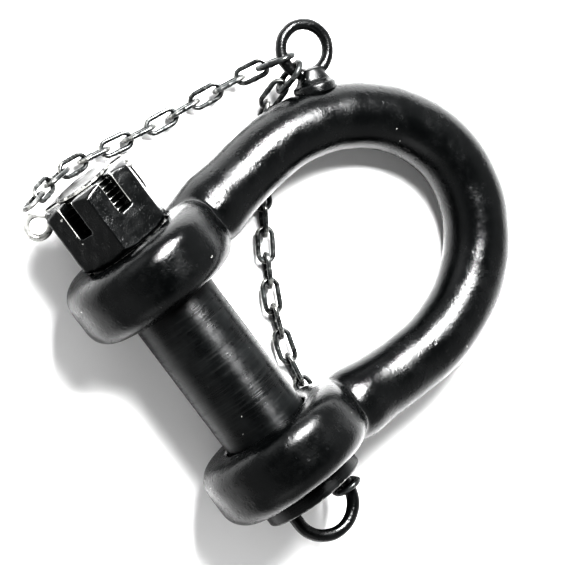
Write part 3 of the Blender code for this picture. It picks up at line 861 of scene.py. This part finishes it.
def block(size, middle, turn):
    """Closed box turned about the pin's axis, as a grid of four rings of corners."""
    y, z = size[1] / 2, size[2] / 2
    ring = np.array(((y, z), (-y, z), (-y, -z), (y, -z)))
    ends = np.array((-size[0] / 2, -size[0] / 2, size[0] / 2, size[0] / 2)) + middle
    scale = np.array((0.0, 1.0, 1.0, 0.0))
    flat = ring[None] * scale[:, None, None]
    c, s = math.cos(turn), math.sin(turn)
    turned_flat = flat @ np.array(((c, s), (-s, c)))
    along = np.broadcast_to(ends[:, None, None], (4, 4, 1))
    return grid_mesh("block", np.concatenate((along, turned_flat), axis=-1))


def nut_mesh():
    """Castle nut: three blocks taken across the end make six slots, then its skin is
    melted a little so that every edge is rounded."""
    nut = settings().nut
    middle = -(nut.outer_face - nut.slot_depth / 2 + OVERRUN)
    size = (nut.slot_depth + 2 * OVERRUN, 1.5 * nut.flats, nut.slot_width)
    slots = [block(size, middle, nut.slot_angle + k * math.pi / 3) for k in range(3)]
    return hammered(melted(cut(nut_shell(), slots), 0.00075, 5), 0.00007, 0.010, 7)


def split_pin_mesh():
    """One half-round wire doubled back on itself: leg, loop, leg. The wire's section
    changes from half a disc on the legs to a flattened oval in the loop."""
    nut = settings().nut
    loop, offset = nut.loop_radius, nut.loop_offset
    leg_middle = nut.split_radius * SPLIT_LEG_SHARE
    neck = math.asin(leg_middle / loop) * 1.3
    leg_x = np.linspace(nut.split_tip, -offset + loop * math.cos(neck) + 0.004, 40)
    leg = np.column_stack((leg_x, np.full(40, leg_middle)))
    angle = np.linspace(neck, 2 * math.pi - neck, 61)
    ring = np.column_stack((-offset + loop * np.cos(angle), loop * np.sin(angle)))
    flat = np.vstack((leg, ring, leg[::-1] * (1.0, -1.0)))
    path = np.column_stack((flat, np.zeros(len(flat))))
    in_loop = np.clip((-offset + loop + 0.003 - path[:, 0]) / 0.005, 0.0, 1.0)
    in_loop = (in_loop ** 2 * (3 - 2 * in_loop))[:, None]
    turn = np.linspace(0.0, 2 * math.pi, 28, endpoint=False)
    reach = nut.split_radius - leg_middle
    inner = leg_middle - SPLIT_GAP
    c, s = np.cos(turn), np.sin(turn)
    half_c = np.where(c > 0, c * reach, np.sign(c) * np.abs(c) ** 0.35 * inner)
    half_s = s * nut.split_radius * SPLIT_FLATTENING
    across = (1 - in_loop) * half_c + in_loop * c * nut.loop_wire * 0.9
    upward = (1 - in_loop) * half_s + in_loop * s * nut.loop_wire * 1.1
    section = np.stack((across, upward), axis=-1)
    normal = in_plane_normals(path, False)
    rows = swept(path, normal * np.sign(normal[0, 1]), np.array((0.0, 0.0, 1.0)), section)
    first = rows[:1].mean(axis=1, keepdims=True)
    last = rows[-1:].mean(axis=1, keepdims=True)
    rows[0] = first[0] + (rows[0] - first[0]) * SPLIT_TIP_SHARE
    rows[-1] = last[0] + (rows[-1] - last[0]) * SPLIT_TIP_SHARE
    tip = np.array((SPLIT_TIP_LENGTH, 0.0, 0.0))
    cap_a = np.broadcast_to(first + tip, rows[:1].shape)
    cap_b = np.broadcast_to(last + tip, rows[:1].shape)
    return moved(grid_mesh("split_pin", np.concatenate((cap_a, rows, cap_b))), split_pin_place)


def eyebolt_axes():
    """Foot on the bar's centre line, and directions out of the bow and across it."""
    size = settings().bow
    angle = math.pi - settings().chain.bolt_angle
    foot = np.array((size.crown_width * math.cos(angle),
                     size.arm_end + crown_height() * math.sin(angle), 0.0))
    out = np.array((math.cos(angle) / size.crown_width,
                    math.sin(angle) / crown_height(), 0.0))
    out /= np.linalg.norm(out)
    return foot, out, np.cross(out, (0.0, 0.0, 1.0))


def eyebolt_mesh():
    """Neck turned about its axis and pressed flat on two sides, melted into its ring."""
    size = settings().chain
    foot, out, side = eyebolt_axes()
    rows = turned(rounded(NECK_OUTLINE, NECK_ROUNDING), 72)
    flat = size.neck_flat
    high = np.clip((rows[..., 0] - FLAT_START) / FLAT_BLEND, 0.0, 1.0)
    z = rows[..., 2]
    pressed = flat * np.tanh(z / flat * FLAT_FIRMNESS)
    rows[..., 2] = z + (pressed - z) * high * (np.abs(pressed) < np.abs(z))
    angle = np.linspace(0.0, 2 * math.pi, 96, endpoint=False)
    path = np.column_stack((size.ring_offset + size.ring_radius * np.cos(angle),
                            size.ring_radius * np.sin(angle), np.zeros(96)))
    shells = joined("eyebolt", (grid_mesh("neck", rows),
                                tube("ring", path, size.ring_wire, 36, loop=True)))
    skin = melted(shells, 0.0006, 5)
    axes = np.array((out, side, (0.0, 0.0, 1.0)))
    return hammered(moved(skin, lambda p: p @ axes + foot), 0.00008, 0.012, 3)


def link_path(straight, bend, steps):
    """Stadium: two straight runs and two half circles. At an even share of the way
    round, the point is on a run or on an arc by how far along the outline it is."""
    run, arc = 2 * straight, math.pi * bend
    way = np.linspace(0.0, 2 * (run + arc), steps, endpoint=False)
    lap = way % (run + arc)
    side = np.where(way < run + arc, 1.0, -1.0)
    angle = np.clip(lap - run, 0.0, None) / bend
    x = np.where(lap < run, lap - straight, straight + bend * np.sin(angle))
    y = np.where(lap < run, -bend, -bend * np.cos(angle))
    return np.column_stack((side * x, side * y, np.zeros(steps))), way, run


def link_mesh(node):
    """Welded link laid in the place of its node: the node's points give its middle and
    its three directions, as the eigenvectors of their spread, and its outer sizes."""
    size = settings().chain
    points = mesh_points(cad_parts[node].data)
    low_to_high = np.linalg.eigh(np.cov(points.T))[1]
    axes = low_to_high[:, ::-1].T.copy()
    axes[2] = np.cross(axes[0], axes[1])
    flat = points @ axes.T
    middle = (flat.max(axis=0) + flat.min(axis=0)) / 2
    outer = (flat.max(axis=0) - flat.min(axis=0)) / 2
    wire = outer[2]
    bend = outer[1] - wire
    path, way, run = link_path(outer[0] - outer[1], bend, size.link_steps)
    weld = size.weld_bead * np.exp(-((way - run / 2) / (0.55 * wire)) ** 2)
    squeeze = 1 - 0.05 * np.abs(path[:, 0]) / outer[0]
    mesh = tube("link", path, wire * squeeze * (1 + weld), size.link_sides, loop=True)
    return moved(mesh, lambda p: (p + middle) @ axes)


# ----------------------------------------------------------------------------- operators


def colour(value):
    return tuple(float(c) for c in value)


class SHACKLE_OT_bow(bpy.types.Operator):
    """Builds the forged bow"""
    bl_idname = "shackle.bow"
    bl_label = "Bow"

    def execute(self, context):
        tone = settings().finish
        coat = painted("black_paint_on_forging", colour(tone.paint), colour(tone.paint_dull),
                       colour(tone.bare), 1.0, (0.55, 0.95), 0.55, 0.55, (0.17, 0.32))
        piece("bow_forging", moved(bow_mesh(), placed), "bow", ("bow",), coat)
        return {"FINISHED"}


class SHACKLE_OT_eyebolt(bpy.types.Operator):
    """Builds the eyebolt that holds both chains"""
    bl_idname = "shackle.eyebolt"
    bl_label = "Eyebolt"

    def execute(self, context):
        tone = settings().finish
        coat = painted("black_paint_on_eyebolt", colour(tone.paint), colour(tone.paint_dull),
                       colour(tone.bare), 1.6, (0.95, 1.5), 0.5, 0.5, (0.20, 0.34))
        piece("eyebolt_with_ring", moved(eyebolt_mesh(), placed), "bow", ("chain_eyebolt",),
              coat)
        return {"FINISHED"}


class SHACKLE_OT_pin(bpy.types.Operator):
    """Builds the turned pin"""
    bl_idname = "shackle.pin"
    bl_label = "Pin"

    def execute(self, context):
        tone = settings().finish
        coat = machined("blackened_pin_steel", colour(tone.pin), colour(tone.bare), 420.0,
                        (0.50, 0.90), (0.26, 0.40), 0.35)
        piece("turned_pin", moved(pin_mesh(), placed), "pin", ("pin",), coat,
              sharp=35.0)
        return {"FINISHED"}


class SHACKLE_OT_handle(bpy.types.Operator):
    """Builds the D-shaped handle on the pin's head"""
    bl_idname = "shackle.handle"
    bl_label = "Handle"

    def execute(self, context):
        tone = settings().finish
        coat = painted("black_paint_on_handle", colour(tone.paint), colour(tone.paint_dull),
                       colour(tone.bare), 1.8, (0.75, 1.3), 0.4, 0.45, (0.18, 0.32))
        piece("pin_handle_bar", moved(handle_mesh(), placed), "pin", ("pin_handle",),
              coat)
        return {"FINISHED"}


class SHACKLE_OT_nut(bpy.types.Operator):
    """Builds the castle nut"""
    bl_idname = "shackle.nut"
    bl_label = "Castle nut"

    def execute(self, context):
        tone = settings().finish
        coat = painted("black_nut_finish", colour(tone.pin), colour(tone.paint_dull),
                       colour(tone.bare), 1.5, (0.70, 1.2), 0.5, 0.5, (0.16, 0.28))
        piece("castle_nut", moved(nut_mesh(), placed), "nut", ("nut",), coat)
        return {"FINISHED"}


class SHACKLE_OT_split_pin(bpy.types.Operator):
    """Builds the split pin"""
    bl_idname = "shackle.split_pin"
    bl_label = "Split pin"

    def execute(self, context):
        tone = settings().finish
        coat = chain_steel("split_pin_wire", colour(tone.wire), colour(tone.bare), (0.5, 1.1),
                           (0.26, 0.42))
        piece("split_pin_halfround", moved(split_pin_mesh(), placed), "split_pin",
              ("split_pin",), coat, sharp=50.0)
        return {"FINISHED"}


class SHACKLE_OT_chains(bpy.types.Operator):
    """Builds every link of both chains and the two links at the handle"""
    bl_idname = "shackle.chains"
    bl_label = "Chains"

    def execute(self, context):
        tone = settings().finish
        coat = chain_steel("dark_chain_steel", colour(tone.chain), colour(tone.bare),
                           (0.62, 1.15), (0.24, 0.42))
        for node in sorted(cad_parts):
            if "link" in node or "joiner" in node:
                piece(f"welded_{node}", link_mesh(node), node, (node,), coat)
        return {"FINISHED"}


class SHACKLE_OT_stage(bpy.types.Operator):
    """Lays the floor and sets the lights, the surroundings and the camera"""
    bl_idname = "shackle.stage"
    bl_label = "Floor, light and camera"

    def execute(self, context):
        lay_floor()
        set_surroundings()
        set_lights()
        set_camera()
        return {"FINISHED"}


KEY_DIRECTION = (-0.48, 0.42, 0.86)
KEY_AWAY = 1.6
KEY_SIZE = (0.62, 0.85)
LEFT_DIRECTION = (-0.95, -0.25, 0.45)
RIGHT_DIRECTION = (0.75, -0.65, 0.55)
FILL_AWAY = 1.8
FILL_SIZE = (0.8, 0.8)
FLOOR_HALF = 3.0
FLOOR_GAP = 0.0002


def lay_floor():
    """Plain pale square under the shackle."""
    half, level = FLOOR_HALF, CAD_BOX[0].z - FLOOR_GAP
    corners = np.array(((-half, -half, level), (half, -half, level), (half, half, level),
                        (-half, half, level)))
    mesh = bpy.data.meshes.new("floor")
    mesh.from_pydata(corners, [], [(0, 1, 2, 3)])
    made, tree, shader, position, _ = new_material("pale_floor")
    grain = add(tree, "ShaderNodeTexNoise", {"Vector": position, "Scale": 9.0, "Detail": 3.0})
    tone = colour(settings().stage.floor)
    shade = blend_colour(tree, ramp(tree, grain.outputs[0], 0.3, 0.7), tone,
                         tuple(c * 0.985 for c in tone))
    tree.links.new(shade, shader.inputs["Base Color"])
    shader.inputs["Roughness"].default_value = 0.75
    shader.inputs["Specular IOR Level"].default_value = 0.2
    mesh.materials.append(made)
    floor = bpy.data.objects.new("floor", mesh)
    bpy.context.scene.collection.objects.link(floor)


def set_surroundings():
    """White surroundings, dimmer straight overhead as under a dark ceiling."""
    scene = bpy.context.scene
    world = scene.world or bpy.data.worlds.new("surroundings")
    scene.world = world
    world.use_nodes = True
    tree = world.node_tree
    sky = tree.nodes["Background"]
    sky.inputs["Color"].default_value = (1.0, 1.0, 1.0, 1.0)
    stage = settings().stage
    upward = add(tree, "ShaderNodeTexCoord").outputs["Generated"]
    upward = add(tree, "ShaderNodeSeparateXYZ", {"Vector": upward}).outputs["Z"]
    strength = ramp(tree, upward, stage.zenith_from, 1.0, stage.sky, stage.zenith)
    tree.links.new(strength, sky.inputs["Strength"])
    scene.view_settings.view_transform = "Standard"
    scene.view_settings.look = "Very High Contrast"


def area_light(name, direction, away, size, power):
    """Rectangular soft light that faces the shackle from a direction."""
    data = bpy.data.lights.new(name, "AREA")
    data.shape = "RECTANGLE"
    data.size, data.size_y = size
    data.energy = power
    made = bpy.data.objects.new(name, data)
    bpy.context.scene.collection.objects.link(made)
    direction = np.array(direction) / np.linalg.norm(direction)
    middle = (np.array(CAD_BOX[0]) + np.array(CAD_BOX[1])) / 2
    made.location = middle + direction * away
    made.rotation_mode = "QUATERNION"
    made.rotation_quaternion = Vector(direction).to_track_quat("Z", "Y")
    return made


def set_lights():
    stage = settings().stage
    area_light("key_softbox", KEY_DIRECTION, KEY_AWAY, KEY_SIZE, stage.key)
    area_light("left_fill", LEFT_DIRECTION, FILL_AWAY, FILL_SIZE, stage.fill)
    area_light("right_fill", RIGHT_DIRECTION, FILL_AWAY, FILL_SIZE, stage.fill)


def set_camera():
    """Long-lens camera along the view's direction, with the given direction upwards."""
    stage = settings().stage
    back = Vector(stage.to_camera).normalized()
    up = Vector(stage.camera_up)
    right = up.cross(back).normalized()
    up = back.cross(right)
    data = bpy.data.cameras.new("camera")
    data.sensor_width = 36.0
    data.lens = data.sensor_width * stage.distance / stage.field
    data.clip_start, data.clip_end = 0.1, 60.0
    made = bpy.data.objects.new("camera", data)
    bpy.context.scene.collection.objects.link(made)
    aim = Vector(ORIGIN) + Vector(stage.aim)
    turn = Matrix((right, up, back)).transposed().to_4x4()
    made.matrix_world = Matrix.Translation(aim + back * stage.distance) @ turn
    bpy.context.scene.camera = made


class SHACKLE_PT_panel(bpy.types.Panel):
    """Sizes, finishes and builders of the shackle"""
    bl_idname = "SHACKLE_PT_panel"
    bl_label = "Bow Shackle"
    bl_space_type = "VIEW_3D"
    bl_region_type = "UI"
    bl_category = "Shackle"

    def draw(self, context):
        layout = self.layout
        for part in ("bow", "pin", "nut", "chain", "finish", "stage"):
            values = getattr(context.scene.shackle, part)
            box = layout.box()
            box.label(text=part.capitalize())
            for key in values.bl_rna.properties.keys():
                if key not in ("name", "rna_type"):
                    box.prop(values, key)
        for builder in OPERATORS:
            layout.operator(builder.bl_idname)


GROUPS = (BowSizes, PinSizes, NutSizes, ChainSizes, Finish, Stage, ShackleSettings)
OPERATORS = (SHACKLE_OT_bow, SHACKLE_OT_eyebolt, SHACKLE_OT_pin, SHACKLE_OT_handle,
             SHACKLE_OT_nut, SHACKLE_OT_split_pin, SHACKLE_OT_chains, SHACKLE_OT_stage)


def register():
    for made in (*GROUPS, *OPERATORS, SHACKLE_PT_panel):
        bpy.utils.register_class(made)
    bpy.types.Scene.shackle = PointerProperty(type=ShackleSettings)


def unregister():
    del bpy.types.Scene.shackle
    for made in reversed((*GROUPS, *OPERATORS, SHACKLE_PT_panel)):
        bpy.utils.unregister_class(made)


def main():
    register()
    bpy.ops.shackle.bow()
    bpy.ops.shackle.eyebolt()
    bpy.ops.shackle.pin()
    bpy.ops.shackle.handle()
    bpy.ops.shackle.nut()
    bpy.ops.shackle.split_pin()
    bpy.ops.shackle.chains()
    bpy.ops.shackle.stage()
    bpy.context.view_layer.update()


if __name__ == "__main__":
    main()
